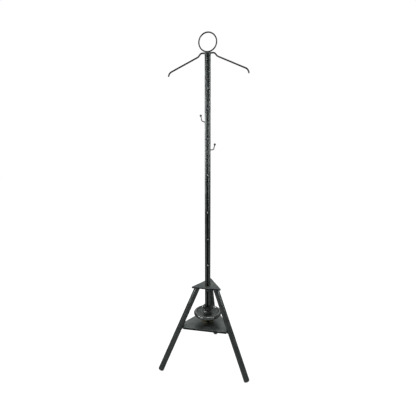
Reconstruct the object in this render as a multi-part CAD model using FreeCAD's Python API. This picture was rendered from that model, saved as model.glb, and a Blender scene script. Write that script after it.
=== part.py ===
"""Tripod stand with a swivelling three-tube mast, a garment hanger top and a brake wheel.

Frame: +Z up, +X along the hanger arms, front of the stand towards -Y.
The origin is on the mast's axis at floor level.  All sizes are in millimetres.
"""
import FreeCAD, Part
import math
import os

# ---- Overall heights ----
MAST_TUBES_TOP = 1747.0
TOP_PLATE_FACE = 487.5
SHELF_FACE = 257.0

# ---- Legs: three tubes leaning outwards under the corners of the top plate ----
LEG_AZIMUTHS = {"left": 210.0, "right": -30.0, "rear": 90.0}
LEG_RADIUS = 16.0
LEG_WALL = 2.5
LEG_SPREAD_AT_FLOOR = 289.7
LEG_SPREAD_AT_PLATE = 62.1
FOOT_THICKNESS = 6.0
FOOT_ROUNDING = 4.0
FOOT_WEAR = 0.8
FOOT_STEM_LENGTH = 30.0

# ---- Plates: equilateral, given by the distance from the axis to each edge ----
TOP_PLATE_THICKNESS = 8.0
TOP_PLATE_EDGE_DISTANCE = 51.0
TOP_PLATE_CORNER = 5.0
TOP_PLATE_ROUNDING = 2.5
SHELF_THICKNESS = 11.0
SHELF_EDGE_DISTANCE = 98.0
SHELF_CORNER_DISTANCE = 156.0
SHELF_ROUNDING = 1.5

# ---- Mast: three tubes in a close bundle, one at the rear ----
MAST_TUBE_AZIMUTHS = {"left": 221.0, "right": -19.0, "rear": 101.0}
MAST_TUBE_RADIUS = 8.0
MAST_TUBE_WALL = 1.5
MAST_TUBE_PITCH = 16.2
TACK_HEIGHTS = (452.0, 607.0, 762.0, 918.0, 1126.0, 1321.0, 1474.0, 1578.0, 1625.0)
TACK_RADIUS = 4.0
TACK_LENGTH = 7.0
CAP_THICKNESS = 4.0

# ---- Guide bush in the top plate ----
BUSH_CLEARANCE = 0.3
BUSH_OUTER_RADIUS = 21.0
BUSH_FLANGE_RADIUS = 26.0
BUSH_FLANGE_THICKNESS = 3.0

# ---- Hanger rod, drawn in the X-Z plane as (x, z) corners of its right half ----
HANGER_RADIUS = 4.0
HANGER_SHOULDER = 1753.5
HANGER_CORNERS = ((36.0, HANGER_SHOULDER), (50.0, 1736.3), (210.5, 1664.9))
HANGER_TIP = (214.5, 1643.0)
HANGER_BENDS = (14.0, 22.0, 30.0)
HANGER_TIP_ROUNDING = 2.5

# ---- Ring welded on the hanger rod ----
RING_RADIUS = 46.5
RING_WIRE_RADIUS = 3.5
RING_CENTRE_Z = 1806.5

# ---- Hooks: (x, z) root, corner and end of each rod, on the side of a front tube ----
HOOK_RADIUS = 2.6
HOOK_BALL_RADIUS = 6.0
HOOK_BALL_SOCKET = 2.5
HOOKS = {
    "upper": {"root": (-12.0, 1406.6), "corner": (-31.0, 1414.3), "end": (-35.6, 1438.1), "bend": 10.0},
    "lower": {"root": (12.0, 1262.4), "corner": (33.0, 1262.4), "end": (39.0, 1287.4), "bend": 9.0},
}

# ---- Mast shoe, spindle and thrust pad ----
SHOE_BOTTOM = 343.0
SHOE_HEIGHT = 13.0
SHOE_RADIUS = 28.0
SHOE_FLOOR = 5.0
SHOE_SOCKET_RADIUS = 17.5
SHOE_ROUNDING = 1.5
GRUB_RADIUS = 2.0
GRUB_SINK = 0.8
SPINDLE_RADIUS = 8.0
THRUST_PAD_THICKNESS = 4.0
THRUST_GAP = 0.2

# ---- Pedestal: flange and threaded post that carry the wheel and the spindle ----
FLANGE_RADIUS = 36.0
FLANGE_THICKNESS = 9.0
FLANGE_ROUNDING = 1.5
POST_RADIUS = 15.0
POST_TOP = 332.0
RUNNING_CLEARANCE = 0.05
BOLT_CIRCLE_RADIUS = 28.0
BOLT_RADIUS = 3.0
BOLT_HOLE_RADIUS = 3.3
BOLT_HEAD_FLATS = 10.0
BOLT_HEAD_HEIGHT = 4.0
NUT_HEIGHT = 5.0
WASHER_RADIUS = 6.2
WASHER_THICKNESS = 1.6
BOLT_TAIL = 2.0
BOLT_AZIMUTHS = (30.0, 150.0, 270.0)

# ---- Brake wheel: turned hub, dished web and round rim ----
WHEEL_RIM_RADIUS = 71.0
WHEEL_RIM_SECTION = 10.5
WHEEL_RIM_Z = 312.0
WEB_INNER_RADIUS = 30.0
WEB_TOP_AT_HUB = 323.5
WEB_TOP_AT_RIM = 319.0
WEB_BOTTOM = 304.0
NECK_RADIUS = 22.0
NECK_FLARE_TOP = 331.0
HUB_BORE_RADIUS = 18.0
HUB_BOTTOM = 288.0
HUB_BOTTOM_RADIUS = 24.0
HUB_TOP = 339.0
INSERT_BOTTOM = 290.0
INSERT_TOP = 322.0
BRAKE_GAP = 0.3
BRAKE_INNER_RADIUS = 10.0
BRAKE_OUTER_RADIUS = 21.0

# ---- Sizes worked out from the ones above ----
TOP_PLATE_UNDERSIDE = TOP_PLATE_FACE - TOP_PLATE_THICKNESS
SHELF_UNDERSIDE = SHELF_FACE - SHELF_THICKNESS
MAST_TUBE_CENTRE = MAST_TUBE_PITCH / math.sqrt(3.0)
MAST_BUNDLE_RADIUS = MAST_TUBE_CENTRE + MAST_TUBE_RADIUS
SHOE_TOP = SHOE_BOTTOM + SHOE_HEIGHT
MAST_TUBES_BOTTOM = SHOE_BOTTOM + SHOE_FLOOR
GRUB_HEIGHT = (MAST_TUBES_BOTTOM + SHOE_TOP) / 2.0
FLANGE_TOP = SHELF_FACE + FLANGE_THICKNESS
UP = FreeCAD.Vector(0, 0, 1)


def polar(radius, azimuth, z=0.0):
    """Return the point at a radius and an azimuth in degrees about the mast's axis."""
    angle = math.radians(azimuth)
    return FreeCAD.Vector(radius * math.cos(angle), radius * math.sin(angle), z)


def cylinder(radius, z_low, z_high, centre=FreeCAD.Vector(0, 0, 0)):
    """Return an upright cylinder between two heights."""
    base = FreeCAD.Vector(centre.x, centre.y, z_low)
    return Part.makeCylinder(radius, z_high - z_low, base, UP)


def sleeve(outer, inner, z_low, z_high, centre=FreeCAD.Vector(0, 0, 0)):
    """Return an upright round tube between two heights."""
    return cylinder(outer, z_low, z_high, centre).cut(cylinder(inner, z_low, z_high, centre))


def prism(points, z_low, z_high):
    """Return an upright prism on a closed outline of (x, y) points."""
    corners = [FreeCAD.Vector(x, y, z_low) for x, y in points]
    outline = Part.makePolygon(corners + corners[:1])
    return Part.Face(outline).extrude(FreeCAD.Vector(0, 0, z_high - z_low))


def hexagon(across_flats, z_low, z_high, centre):
    """Return an upright hexagonal prism."""
    corner_radius = across_flats / math.sqrt(3.0)
    corners = [centre + polar(corner_radius, 60.0 * step) for step in range(6)]
    return prism([(corner.x, corner.y) for corner in corners], z_low, z_high)


def rounded(shape, radius, wanted):
    """Return the shape with the edges that the test accepts rounded."""
    return shape.makeFillet(radius, [edge for edge in shape.Edges if wanted(edge)])


def lies_at(height):
    """Return a test for edges that lie flat at one height."""
    return lambda edge: all(abs(vertex.Z - height) < 1e-6 for vertex in edge.Vertexes)


def is_upright(edge):
    """Tell whether an edge runs straight up."""
    ends = [vertex.Point for vertex in edge.Vertexes]
    return len(ends) == 2 and abs((ends[1] - ends[0]).normalize().z) > 0.999


def bent_rod(points, bends, radius):
    """Return a round rod along straight runs joined by tangent arcs, one bend for each inner point."""
    edges = []
    start = points[0]
    for corner, after, bend in zip(points[1:-1], points[2:], bends):
        back = (start - corner).normalize()
        ahead = (after - corner).normalize()
        half_angle = back.getAngle(ahead) / 2.0
        tangent = bend / math.tan(half_angle)
        towards_centre = (back + ahead).normalize()
        middle = corner + towards_centre * (bend / math.sin(half_angle) - bend)
        arc_start = corner + back * tangent
        arc_end = corner + ahead * tangent
        edges.append(Part.LineSegment(start, arc_start).toShape())
        edges.append(Part.Arc(arc_start, middle, arc_end).toShape())
        start = arc_end
    edges.append(Part.LineSegment(start, points[-1]).toShape())
    direction = points[1] - points[0]
    section = Part.Wire(Part.makeCircle(radius, points[0], direction))
    return Part.Wire(edges).makePipeShell([section], True, False)


# ---- Legs and feet ----

def leg_axis(azimuth):
    """Return the leg's axis as its point on the floor and its direction upwards."""
    foot = polar(LEG_SPREAD_AT_FLOOR, azimuth)
    head = polar(LEG_SPREAD_AT_PLATE, azimuth, TOP_PLATE_UNDERSIDE)
    return foot, (head - foot).normalize()


def leg_cylinder(azimuth, radius):
    """Return a long cylinder on the leg's axis that passes the floor and the top plate."""
    foot, direction = leg_axis(azimuth)
    overrun = 4.0 * LEG_RADIUS
    start = foot - direction * overrun
    length = TOP_PLATE_FACE / direction.z + 2.0 * overrun
    return Part.makeCylinder(radius, length, start, direction)


def below(height):
    """Return a wide block under a height, to cut shapes off level."""
    reach = 2.0 * LEG_SPREAD_AT_FLOOR
    corner = FreeCAD.Vector(-reach, -reach, height - 2.0 * TOP_PLATE_FACE)
    return Part.makeBox(2.0 * reach, 2.0 * reach, 2.0 * TOP_PLATE_FACE, corner)


def foot_centre(azimuth):
    """Return the centre of the foot's square-cut end and the leg's direction upwards.

    The foot stands on its inner edge, which is worn flat.
    """
    on_floor, direction = leg_axis(azimuth)
    lean = direction.getAngle(UP)
    edge_drop = (LEG_RADIUS - FOOT_ROUNDING) * math.sin(lean) + FOOT_ROUNDING * (1.0 - math.cos(lean))
    height = edge_drop - FOOT_WEAR
    return on_floor + direction * (height / direction.z), direction


def make_leg(azimuth):
    """Return a tube cut square at the foot and level at the top plate."""
    end, direction = foot_centre(azimuth)
    start = end + direction * FOOT_THICKNESS
    outer = Part.makeCylinder(LEG_RADIUS, TOP_PLATE_FACE / direction.z, start, direction)
    wall = outer.cut(leg_cylinder(azimuth, LEG_RADIUS - LEG_WALL))
    return wall.common(below(TOP_PLATE_UNDERSIDE))


def make_foot(azimuth):
    """Return a rubber foot: a round-edged cap as wide as the tube and a stem inside it.

    The foot is made on the +X side and then turned to its leg.
    """
    end, direction = foot_centre(0.0)
    cap = Part.makeCylinder(LEG_RADIUS, FOOT_THICKNESS, end, direction)
    cap = rounded(cap, FOOT_ROUNDING, lambda edge: (edge.CenterOfMass - end).Length < FOOT_THICKNESS / 2.0)
    cap = cap.cut(below(0.0))
    start = end + direction * FOOT_THICKNESS
    stem = Part.makeCylinder(LEG_RADIUS - LEG_WALL, FOOT_STEM_LENGTH, start, direction)
    foot = cap.fuse(stem).removeSplitter()
    foot.rotate(FreeCAD.Vector(0, 0, 0), UP, azimuth)
    return foot


# ---- Plates ----

def triangle(edge_distance):
    """Return the corners of an equilateral triangle with a corner over each leg."""
    corners = [polar(2.0 * edge_distance, azimuth) for azimuth in LEG_AZIMUTHS.values()]
    return [(corner.x, corner.y) for corner in corners]


def make_top_plate():
    """Return the small plate over the legs, bored for the guide bush."""
    plate = prism(triangle(TOP_PLATE_EDGE_DISTANCE), TOP_PLATE_UNDERSIDE, TOP_PLATE_FACE)
    plate = rounded(plate, TOP_PLATE_CORNER, is_upright)
    plate = rounded(plate, TOP_PLATE_ROUNDING, lies_at(TOP_PLATE_FACE))
    return plate.cut(cylinder(BUSH_OUTER_RADIUS, TOP_PLATE_UNDERSIDE, TOP_PLATE_FACE))


def corner_cutter(azimuth):
    """Return the block beyond the cut corner of the shelf at one leg."""
    size = 4.0 * SHELF_EDGE_DISTANCE
    block = Part.makeBox(size, size, 2.0 * SHELF_THICKNESS)
    low = SHELF_UNDERSIDE - SHELF_THICKNESS / 2.0
    block.translate(FreeCAD.Vector(SHELF_CORNER_DISTANCE, -size / 2.0, low))
    block.rotate(FreeCAD.Vector(0, 0, 0), UP, azimuth)
    return block


def make_shelf():
    """Return the lower plate, notched round each leg and drilled for the pedestal bolts."""
    plate = prism(triangle(SHELF_EDGE_DISTANCE), SHELF_UNDERSIDE, SHELF_FACE)
    for azimuth in LEG_AZIMUTHS.values():
        plate = plate.cut(corner_cutter(azimuth))
    plate = rounded(plate, SHELF_ROUNDING, lies_at(SHELF_FACE))
    for azimuth in LEG_AZIMUTHS.values():
        plate = plate.cut(leg_cylinder(azimuth, LEG_RADIUS))
    for azimuth in BOLT_AZIMUTHS:
        centre = polar(BOLT_CIRCLE_RADIUS, azimuth)
        plate = plate.cut(cylinder(BOLT_HOLE_RADIUS, SHELF_UNDERSIDE, SHELF_FACE, centre))
    return plate


def make_guide_bush():
    """Return the flanged bush pressed up into the top plate."""
    bore = MAST_BUNDLE_RADIUS + BUSH_CLEARANCE
    flange_bottom = TOP_PLATE_UNDERSIDE - BUSH_FLANGE_THICKNESS
    body = sleeve(BUSH_OUTER_RADIUS, bore, flange_bottom, TOP_PLATE_FACE)
    flange = sleeve(BUSH_FLANGE_RADIUS, bore, flange_bottom, TOP_PLATE_UNDERSIDE)
    return body.fuse(flange).removeSplitter()


# ---- Pedestal and its fasteners ----

def make_pedestal():
    """Return the flange and threaded post with the bore for the mast's spindle."""
    flange = cylinder(FLANGE_RADIUS, SHELF_FACE, FLANGE_TOP)
    flange = rounded(flange, FLANGE_ROUNDING, lies_at(FLANGE_TOP))
    body = flange.fuse(cylinder(POST_RADIUS, SHELF_FACE, POST_TOP)).removeSplitter()
    body = body.cut(cylinder(SPINDLE_RADIUS + RUNNING_CLEARANCE, SHELF_FACE, POST_TOP))
    for azimuth in BOLT_AZIMUTHS:
        centre = polar(BOLT_CIRCLE_RADIUS, azimuth)
        body = body.cut(cylinder(BOLT_HOLE_RADIUS, SHELF_FACE, FLANGE_TOP, centre))
    return body


def make_bolts():
    """Return the bolts that hold the pedestal down on the shelf."""
    bolts = []
    tail = SHELF_UNDERSIDE - WASHER_THICKNESS - NUT_HEIGHT - BOLT_TAIL
    for azimuth in BOLT_AZIMUTHS:
        centre = polar(BOLT_CIRCLE_RADIUS, azimuth)
        head = hexagon(BOLT_HEAD_FLATS, FLANGE_TOP, FLANGE_TOP + BOLT_HEAD_HEIGHT, centre)
        bolts.append(head.fuse(cylinder(BOLT_RADIUS, tail, FLANGE_TOP, centre)).removeSplitter())
    return Part.makeCompound(bolts)


def make_washers():
    """Return the washers under the shelf."""
    low = SHELF_UNDERSIDE - WASHER_THICKNESS
    washers = []
    for azimuth in BOLT_AZIMUTHS:
        centre = polar(BOLT_CIRCLE_RADIUS, azimuth)
        washers.append(sleeve(WASHER_RADIUS, BOLT_RADIUS, low, SHELF_UNDERSIDE, centre))
    return Part.makeCompound(washers)


def make_nuts():
    """Return the nuts under the washers."""
    nuts = []
    high = SHELF_UNDERSIDE - WASHER_THICKNESS
    for azimuth in BOLT_AZIMUTHS:
        centre = polar(BOLT_CIRCLE_RADIUS, azimuth)
        body = hexagon(BOLT_HEAD_FLATS, high - NUT_HEIGHT, high, centre)
        nuts.append(body.cut(cylinder(BOLT_RADIUS, high - NUT_HEIGHT, high, centre)))
    return Part.makeCompound(nuts)


def make_thrust_pad():
    """Return the disc at the bottom of the post's bore that the spindle turns on."""
    return cylinder(SPINDLE_RADIUS, SHELF_FACE, SHELF_FACE + THRUST_PAD_THICKNESS)


# ---- Brake wheel ----

def make_wheel():
    """Return the wheel turned in one piece: hub, flared neck, web and round rim."""
    def point(radius, z):
        return FreeCAD.Vector(radius, 0, z)

    flare_start = point(WEB_INNER_RADIUS, WEB_TOP_AT_HUB)
    flare_end = point(NECK_RADIUS, NECK_FLARE_TOP)
    flare_middle = point(NECK_RADIUS + 0.22 * (WEB_INNER_RADIUS - NECK_RADIUS),
                         WEB_TOP_AT_HUB + 0.28 * (NECK_FLARE_TOP - WEB_TOP_AT_HUB))
    outline = [
        Part.makePolygon([
            flare_end,
            point(NECK_RADIUS, HUB_TOP),
            point(HUB_BORE_RADIUS, HUB_TOP),
            point(HUB_BORE_RADIUS, HUB_BOTTOM),
            point(HUB_BOTTOM_RADIUS, HUB_BOTTOM),
            point(WEB_INNER_RADIUS, WEB_BOTTOM),
            point(WHEEL_RIM_RADIUS, WEB_BOTTOM),
            point(WHEEL_RIM_RADIUS, WEB_TOP_AT_RIM),
            flare_start,
        ]),
        Part.Arc(flare_start, flare_middle, flare_end).toShape(),
    ]
    edges = [edge for piece in outline for edge in piece.Edges]
    body = Part.Face(Part.Wire(Part.__sortEdges__(edges))).revolve(FreeCAD.Vector(0, 0, 0), UP, 360)
    rim = Part.makeTorus(WHEEL_RIM_RADIUS, WHEEL_RIM_SECTION, FreeCAD.Vector(0, 0, WHEEL_RIM_Z), UP)
    return body.fuse(rim).removeSplitter()


def make_wheel_insert():
    """Return the bronze bush in the hub that runs on the threaded post."""
    return sleeve(HUB_BORE_RADIUS, POST_RADIUS + RUNNING_CLEARANCE, INSERT_BOTTOM, INSERT_TOP)


def make_brake_ring():
    """Return the friction ring on top of the hub that the wheel lifts against the shoe."""
    return sleeve(BRAKE_OUTER_RADIUS, BRAKE_INNER_RADIUS, HUB_TOP, SHOE_BOTTOM - BRAKE_GAP)


# ---- Mast ----

def mast_tube_centre(side):
    """Return the axis of one tube of the bundle."""
    return polar(MAST_TUBE_CENTRE, MAST_TUBE_AZIMUTHS[side])


def make_mast_tube(side):
    """Return one tube of the mast."""
    inner = MAST_TUBE_RADIUS - MAST_TUBE_WALL
    return sleeve(MAST_TUBE_RADIUS, inner, MAST_TUBES_BOTTOM, MAST_TUBES_TOP, mast_tube_centre(side))


def make_tack_welds():
    """Return the short beads that join the tubes along each of the three grooves."""
    beads = []
    groove_azimuths = [azimuth + 180.0 for azimuth in MAST_TUBE_AZIMUTHS.values()]
    groove_radius = MAST_TUBE_RADIUS + 0.4 * TACK_RADIUS
    for height in TACK_HEIGHTS:
        for azimuth in groove_azimuths:
            centre = polar(groove_radius, azimuth)
            bead = cylinder(TACK_RADIUS, height - TACK_LENGTH / 2.0, height + TACK_LENGTH / 2.0, centre)
            for side in MAST_TUBE_AZIMUTHS:
                low = height - TACK_LENGTH
                high = height + TACK_LENGTH
                bead = bead.cut(cylinder(MAST_TUBE_RADIUS, low, high, mast_tube_centre(side)))
            beads.append(max(bead.Solids, key=lambda solid: solid.Volume))
    return Part.makeCompound(beads)


def make_shoe():
    """Return the collar that holds the foot of the tubes and the top of the spindle."""
    shoe = cylinder(SHOE_RADIUS, SHOE_BOTTOM, SHOE_TOP)
    shoe = rounded(shoe, SHOE_ROUNDING, lambda edge: lies_at(SHOE_TOP)(edge) or lies_at(SHOE_BOTTOM)(edge))
    shoe = shoe.cut(cylinder(SHOE_SOCKET_RADIUS, MAST_TUBES_BOTTOM, SHOE_TOP))
    shoe = shoe.cut(cylinder(SPINDLE_RADIUS, SHOE_BOTTOM, MAST_TUBES_BOTTOM))
    axis_point = FreeCAD.Vector(0, 0, GRUB_HEIGHT)
    for azimuth in MAST_TUBE_AZIMUTHS.values():
        hole = Part.makeCylinder(GRUB_RADIUS, 2.0 * SHOE_RADIUS, axis_point, polar(1.0, azimuth))
        shoe = shoe.cut(hole)
    return shoe


def make_shoe_screws():
    """Return the grub screws that press on the tubes through the shoe."""
    length = SHOE_RADIUS - MAST_BUNDLE_RADIUS - GRUB_SINK
    screws = []
    for azimuth in MAST_TUBE_AZIMUTHS.values():
        tip = polar(MAST_BUNDLE_RADIUS, azimuth, GRUB_HEIGHT)
        screws.append(Part.makeCylinder(GRUB_RADIUS, length, tip, polar(1.0, azimuth)))
    return Part.makeCompound(screws)


def make_spindle():
    """Return the shaft under the shoe that turns in the post."""
    low = SHELF_FACE + THRUST_PAD_THICKNESS + THRUST_GAP
    return cylinder(SPINDLE_RADIUS, low, MAST_TUBES_BOTTOM)


# ---- Hanger top ----

def make_hanger_rod():
    """Return the shoulder-shaped rod across the top of the mast."""
    right = list(HANGER_CORNERS) + [HANGER_TIP]
    left = [(-x, z) for x, z in reversed(right)]
    points = [FreeCAD.Vector(x, 0, z) for x, z in left + right]
    bends = list(reversed(HANGER_BENDS)) + list(HANGER_BENDS)
    rod = bent_rod(points, bends, HANGER_RADIUS)
    nearness = HANGER_RADIUS / 10.0

    def is_at_a_tip(edge):
        return any((edge.CenterOfMass - tip).Length < nearness for tip in (points[0], points[-1]))

    return rounded(rod, HANGER_TIP_ROUNDING, is_at_a_tip)


def make_cap():
    """Return the round cap on the tubes, grooved for the hanger rod."""
    cap = cylinder(MAST_BUNDLE_RADIUS, MAST_TUBES_TOP, MAST_TUBES_TOP + CAP_THICKNESS)
    return cap.cut(make_hanger_rod())


def make_ring():
    """Return the ring, cut to sit on the hanger rod."""
    centre = FreeCAD.Vector(0, 0, RING_CENTRE_Z)
    ring = Part.makeTorus(RING_RADIUS, RING_WIRE_RADIUS, centre, FreeCAD.Vector(0, 1, 0))
    return ring.cut(make_hanger_rod())


def hook_side(name):
    """Return the side of the mast that a hook is welded to."""
    return "left" if HOOKS[name]["root"][0] < 0.0 else "right"


def make_hook_rod(name):
    """Return a hook's bent rod, cut to the tube that it is welded to."""
    hook = HOOKS[name]
    tube_centre = mast_tube_centre(hook_side(name))
    points = [FreeCAD.Vector(x, tube_centre.y, z) for x, z in (hook["root"], hook["corner"], hook["end"])]
    rod = bent_rod(points, [hook["bend"]], HOOK_RADIUS)
    reach = 4.0 * MAST_TUBE_RADIUS
    root_z = hook["root"][1]
    return rod.cut(cylinder(MAST_TUBE_RADIUS, root_z - reach, root_z + reach, tube_centre))


def make_hook_ball(name):
    """Return the ball on the end of a hook, drilled for the rod."""
    hook = HOOKS[name]
    tube_y = mast_tube_centre(hook_side(name)).y
    end = FreeCAD.Vector(hook["end"][0], tube_y, hook["end"][1])
    corner = FreeCAD.Vector(hook["corner"][0], tube_y, hook["corner"][1])
    outwards = (end - corner).normalize()
    ball = Part.makeSphere(HOOK_BALL_RADIUS, end + outwards * (HOOK_BALL_RADIUS - HOOK_BALL_SOCKET))
    return ball.cut(make_hook_rod(name))


def build_nodes():
    """Return every sub-part by its name."""
    nodes = {
        "top_plate": make_top_plate(),
        "shelf_plate": make_shelf(),
        "guide_bush": make_guide_bush(),
        "pedestal": make_pedestal(),
        "pedestal_bolts": make_bolts(),
        "pedestal_washers": make_washers(),
        "pedestal_nuts": make_nuts(),
        "thrust_pad": make_thrust_pad(),
        "brake_wheel": make_wheel(),
        "wheel_insert": make_wheel_insert(),
        "brake_ring": make_brake_ring(),
        "mast_shoe": make_shoe(),
        "shoe_grub_screws": make_shoe_screws(),
        "mast_spindle": make_spindle(),
        "mast_tack_welds": make_tack_welds(),
        "mast_cap": make_cap(),
        "hanger_rod": make_hanger_rod(),
        "top_ring": make_ring(),
    }
    for side, azimuth in LEG_AZIMUTHS.items():
        nodes[side + "_leg"] = make_leg(azimuth)
        nodes[side + "_foot"] = make_foot(azimuth)
    for side in MAST_TUBE_AZIMUTHS:
        nodes["mast_tube_" + side] = make_mast_tube(side)
    for name in HOOKS:
        nodes[name + "_hook"] = make_hook_rod(name)
        nodes[name + "_hook_ball"] = make_hook_ball(name)
    return nodes


os.makedirs("parts", exist_ok=True)
for node_name, node_shape in build_nodes().items():
    node_shape.exportStep("parts/" + node_name + ".step")
    print(node_name, len(node_shape.Solids), node_shape.isValid(), round(node_shape.Volume))
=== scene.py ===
"""Looks of the tripod stand: blackened steel tube and plate, turned ironwork, brass, rubber and weld metal.

Everything is in metres, in the frame's own coordinates: z up from the floor, x along the hanger's arms and
-y towards the front.  Heights that the frame holds are read from it.
"""
import math

import bmesh
import bpy
from mathutils import Matrix, Vector, noise


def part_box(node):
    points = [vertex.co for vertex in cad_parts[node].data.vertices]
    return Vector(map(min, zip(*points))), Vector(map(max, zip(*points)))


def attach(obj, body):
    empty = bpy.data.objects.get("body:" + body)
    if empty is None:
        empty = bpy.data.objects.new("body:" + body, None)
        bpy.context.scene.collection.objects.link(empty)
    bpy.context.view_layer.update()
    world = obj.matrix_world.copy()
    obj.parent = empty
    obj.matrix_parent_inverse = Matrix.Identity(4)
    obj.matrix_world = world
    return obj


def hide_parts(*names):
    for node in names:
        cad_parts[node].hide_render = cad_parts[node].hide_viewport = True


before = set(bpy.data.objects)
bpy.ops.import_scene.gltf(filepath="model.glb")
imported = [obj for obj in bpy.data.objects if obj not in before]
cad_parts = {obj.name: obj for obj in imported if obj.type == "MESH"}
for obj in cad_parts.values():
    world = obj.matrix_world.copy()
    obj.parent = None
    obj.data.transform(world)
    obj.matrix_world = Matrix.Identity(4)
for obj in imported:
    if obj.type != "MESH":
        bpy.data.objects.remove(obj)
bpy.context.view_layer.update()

# ---- Sizes ----
MM = 0.001
UP = Vector((0, 0, 1))
SHELF_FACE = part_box("shelf_plate")[1][2]
SHELF_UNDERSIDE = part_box("shelf_plate")[0][2]
TOP_PLATE_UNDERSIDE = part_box("top_plate")[0][2]
FLANGE_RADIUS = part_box("pedestal")[1][0]
POST_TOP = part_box("pedestal")[1][2]
FLANGE_TOP = SHELF_FACE + 9 * MM
HUB_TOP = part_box("brake_wheel")[1][2]
SHOE_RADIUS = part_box("mast_shoe")[1][0]
GRUB_HEIGHT = (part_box("shoe_grub_screws")[0][2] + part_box("shoe_grub_screws")[1][2]) / 2
CAP_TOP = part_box("mast_cap")[1][2]

LEG_AZIMUTHS = {"left": 210.0, "right": -30.0, "rear": 90.0}
LEG_RADIUS = 16 * MM
LEG_WALL = 2.5 * MM
LEG_SPREAD_AT_FLOOR = 289.7 * MM
LEG_SPREAD_AT_PLATE = 62.1 * MM
FOOT_THICKNESS = 6 * MM
FOOT_STEM = 30 * MM
FOOT_ROUNDING = 4 * MM
FOOT_WEAR = 0.8 * MM
SHELF_CORNER_DISTANCE = 156 * MM

MAST_TUBE_AZIMUTHS = {"left": 221.0, "right": -19.0, "rear": 101.0}
MAST_TUBE_RADIUS = 8 * MM
MAST_TUBE_CENTRE = 16.2 * MM / math.sqrt(3)
MAST_BUNDLE_RADIUS = MAST_TUBE_CENTRE + MAST_TUBE_RADIUS
TACK_HEIGHTS = [height * MM for height in (452, 607, 762, 918, 1126, 1321, 1474, 1578, 1625)]
TACK_DEPTH = 9.2 * MM

ROD_RADIUS = 4 * MM
ROD_SHOULDER = 1753.5 * MM
ROD_CORNERS = ((36, 1753.5), (50, 1736.3), (210.5, 1664.9))
ROD_TIP = (214.5, 1643)
ROD_BENDS = (14, 22, 30)
ROD_POINT = [(2.2 * MM, 0.94), (1.4 * MM, 0.88), (0.8 * MM, 0.78), (0.4 * MM, 0.6), (0.15 * MM, 0.45)]

POST_RADIUS = 15 * MM
POST_THREAD_PITCH = 3 * MM
POST_BORE = 8.05 * MM
BOLT_CIRCLE = 28 * MM
BOLT_AZIMUTHS = (30.0, 150.0, 270.0)
BOLT_RADIUS = 3 * MM
BOLT_FLATS = 10 * MM
BOLT_HEAD = 4 * MM
NUT_HEIGHT = 5 * MM
WASHER = 1.6 * MM
GRUB_RADIUS = 2 * MM


def polar(radius, azimuth, z=0.0):
    """Return the point at a radius and an azimuth in degrees about the mast's axis."""
    angle = math.radians(azimuth)
    return Vector((radius * math.cos(angle), radius * math.sin(angle), z))


def leg_frame(azimuth, height):
    """Return the leg's own frame at a height: z up the leg, x outwards square to it."""
    foot = polar(LEG_SPREAD_AT_FLOOR, azimuth)
    head = polar(LEG_SPREAD_AT_PLATE, azimuth, TOP_PLATE_UNDERSIDE)
    along = (head - foot).normalized()
    sideways = UP.cross(polar(1, azimuth))
    outwards = sideways.cross(along)
    turn = Matrix((outwards, sideways, along)).transposed().to_4x4()
    return Matrix.Translation(foot + along * (height / along.z)) @ turn


def leg_lean():
    """Return the tangent of the legs' angle to the upright."""
    return (LEG_SPREAD_AT_FLOOR - LEG_SPREAD_AT_PLATE) / TOP_PLATE_UNDERSIDE


# ---- Finishes ----

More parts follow.
